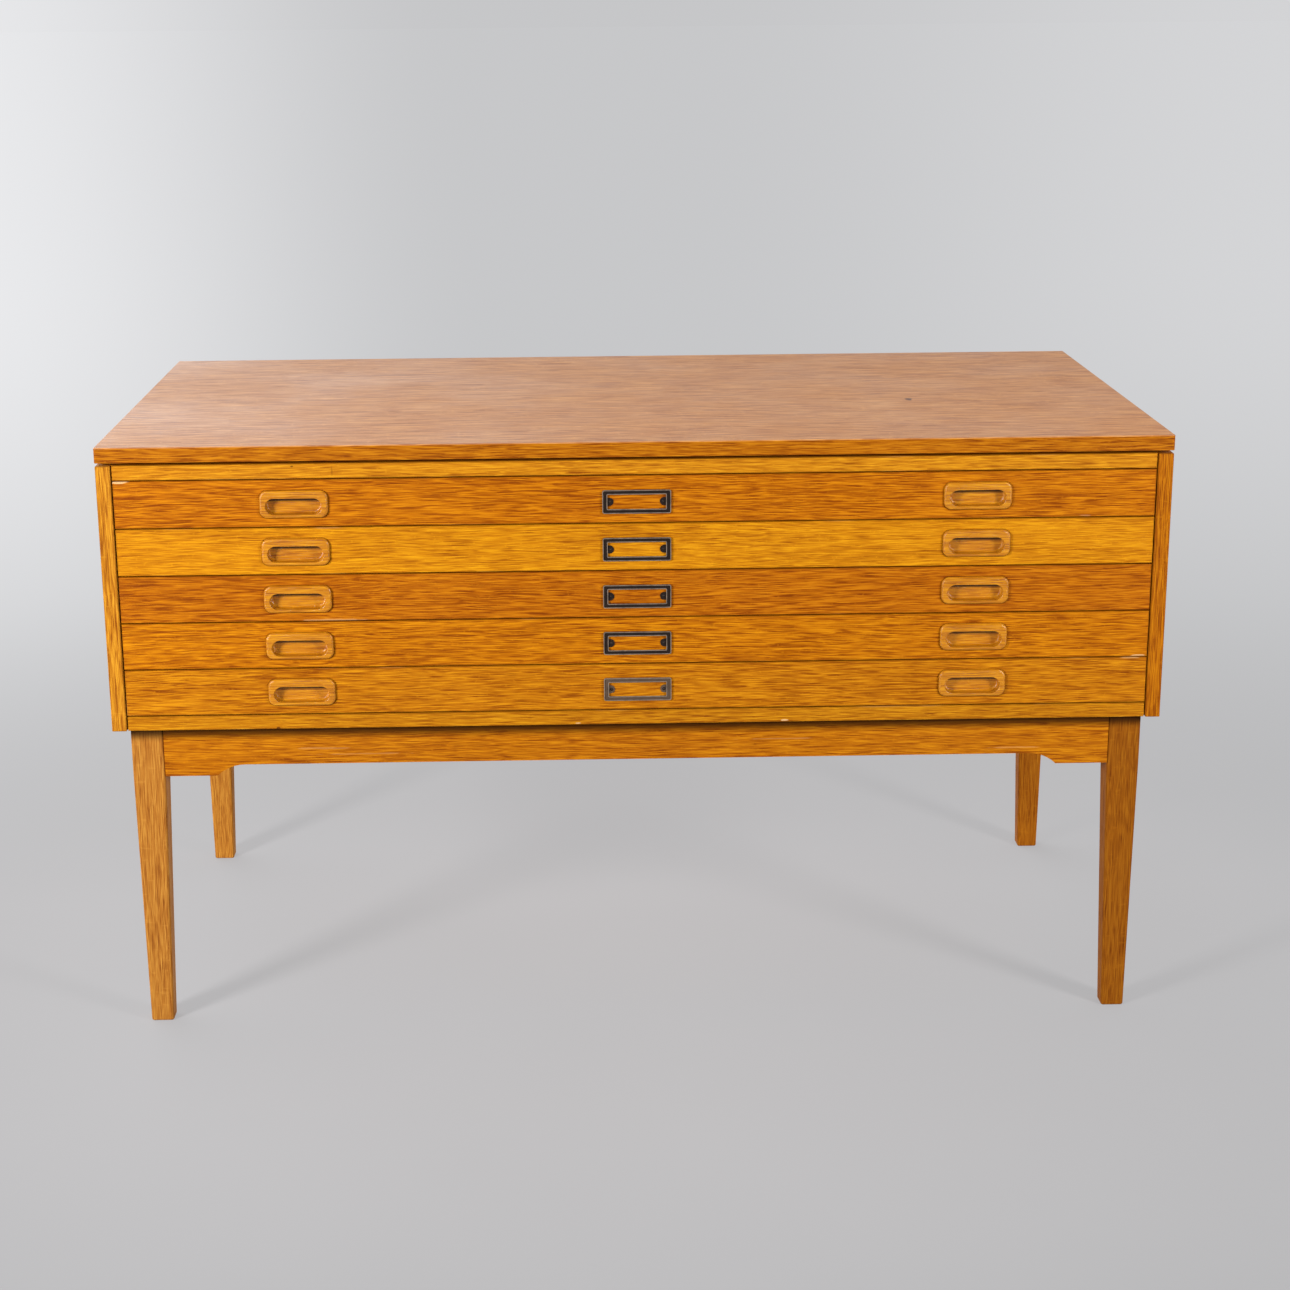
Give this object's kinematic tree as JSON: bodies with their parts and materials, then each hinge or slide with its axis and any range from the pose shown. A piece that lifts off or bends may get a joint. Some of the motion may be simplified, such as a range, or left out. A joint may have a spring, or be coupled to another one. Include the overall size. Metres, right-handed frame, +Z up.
{
  "type": "flat file cabinet",
  "caption": "Low oak plan chest with shallow flush drawers, let-in wooden finger pulls and metal label holders, on a separate stand with tapered legs.",
  "frame": {"origin": "centre of the cabinet's outline at floor level, under the middle of the top board", "axes": "+X along the cabinet's length, to the right seen from the front; +Y towards the back; +Z up; drawers open towards -Y"},
  "size_m": [1.3, 0.65, 0.753],
  "materials": {
    "oak_veneer_top": "matt lacquered oak veneer, aged tan",
    "oak_lipping": "lacquered solid oak edge",
    "spacer_wood": "plain oak batten",
    "oak_case": "lacquered oak, vertical grain",
    "oak_rail": "lacquered light oak edge",
    "oak_ply": "oak-faced plywood",
    "runner_wood": "waxed beech",
    "screw_steel": "zinc-plated screw",
    "block_wood": "plain pine",
    "oak_stand": "lacquered oak, vertical grain",
    "drawer_wood": "plain beech drawer sides",
    "drawer_base_ply": "birch plywood",
    "oak_pull": "lacquered shaped oak",
    "holder_metal": "dark patinated steel with worn edges",
    "oak_front_1": "lacquered oak, horizontal grain",
    "oak_front_2": "lacquered oak, horizontal grain",
    "oak_front_3": "lacquered oak, horizontal grain",
    "oak_front_4": "lacquered oak, horizontal grain",
    "oak_front_5": "lacquered oak, horizontal grain"
  },
  "bodies": {
    "cabinet": {"top_panel": "oak_veneer_top", "top_lippings": "oak_lipping", "top_spacers": "spacer_wood", "side_panel_left": "oak_case", "side_panel_right": "oak_case", "case_top_panel": "oak_rail", "case_bottom_panel": "oak_rail", "back_panel": "oak_ply", "drawer_runners": "runner_wood", "runner_screws": "screw_steel", "case_screws": "screw_steel", "apron_front": "oak_stand", "apron_back": "oak_stand", "apron_left": "oak_stand", "apron_right": "oak_stand", "leg_front_left": "oak_stand", "leg_front_right": "oak_stand", "leg_back_left": "oak_stand", "leg_back_right": "oak_stand", "corner_blocks": "block_wood"},
    "drawer_1": {"drawer_1_front": "oak_front_1", "drawer_1_side_left": "drawer_wood", "drawer_1_side_right": "drawer_wood", "drawer_1_back": "drawer_wood", "drawer_1_base": "drawer_base_ply", "drawer_1_pulls": "oak_pull", "drawer_1_label_holder": "holder_metal", "drawer_1_holder_pins": "holder_metal"},
    "drawer_2": {"drawer_2_front": "oak_front_2", "drawer_2_side_left": "drawer_wood", "drawer_2_side_right": "drawer_wood", "drawer_2_back": "drawer_wood", "drawer_2_base": "drawer_base_ply", "drawer_2_pulls": "oak_pull", "drawer_2_label_holder": "holder_metal", "drawer_2_holder_pins": "holder_metal"},
    "drawer_3": {"drawer_3_front": "oak_front_3", "drawer_3_side_left": "drawer_wood", "drawer_3_side_right": "drawer_wood", "drawer_3_back": "drawer_wood", "drawer_3_base": "drawer_base_ply", "drawer_3_pulls": "oak_pull", "drawer_3_label_holder": "holder_metal", "drawer_3_holder_pins": "holder_metal"},
    "drawer_4": {"drawer_4_front": "oak_front_4", "drawer_4_side_left": "drawer_wood", "drawer_4_side_right": "drawer_wood", "drawer_4_back": "drawer_wood", "drawer_4_base": "drawer_base_ply", "drawer_4_pulls": "oak_pull", "drawer_4_label_holder": "holder_metal", "drawer_4_holder_pins": "holder_metal"},
    "drawer_5": {"drawer_5_front": "oak_front_5", "drawer_5_side_left": "drawer_wood", "drawer_5_side_right": "drawer_wood", "drawer_5_back": "drawer_wood", "drawer_5_base": "drawer_base_ply", "drawer_5_pulls": "oak_pull", "drawer_5_label_holder": "holder_metal", "drawer_5_holder_pins": "holder_metal"}
  },
  "joints": [
    {"name": "drawer_1_slide", "type": "slide", "parent": "cabinet", "child": "drawer_1", "axis": [0, -1, 0], "range_m": [0, 0.43]},
    {"name": "drawer_2_slide", "type": "slide", "parent": "cabinet", "child": "drawer_2", "axis": [0, -1, 0], "range_m": [0, 0.43]},
    {"name": "drawer_3_slide", "type": "slide", "parent": "cabinet", "child": "drawer_3", "axis": [0, -1, 0], "range_m": [0, 0.43]},
    {"name": "drawer_4_slide", "type": "slide", "parent": "cabinet", "child": "drawer_4", "axis": [0, -1, 0], "range_m": [0, 0.43]},
    {"name": "drawer_5_slide", "type": "slide", "parent": "cabinet", "child": "drawer_5", "axis": [0, -1, 0], "range_m": [0, 0.43]}
  ]
}
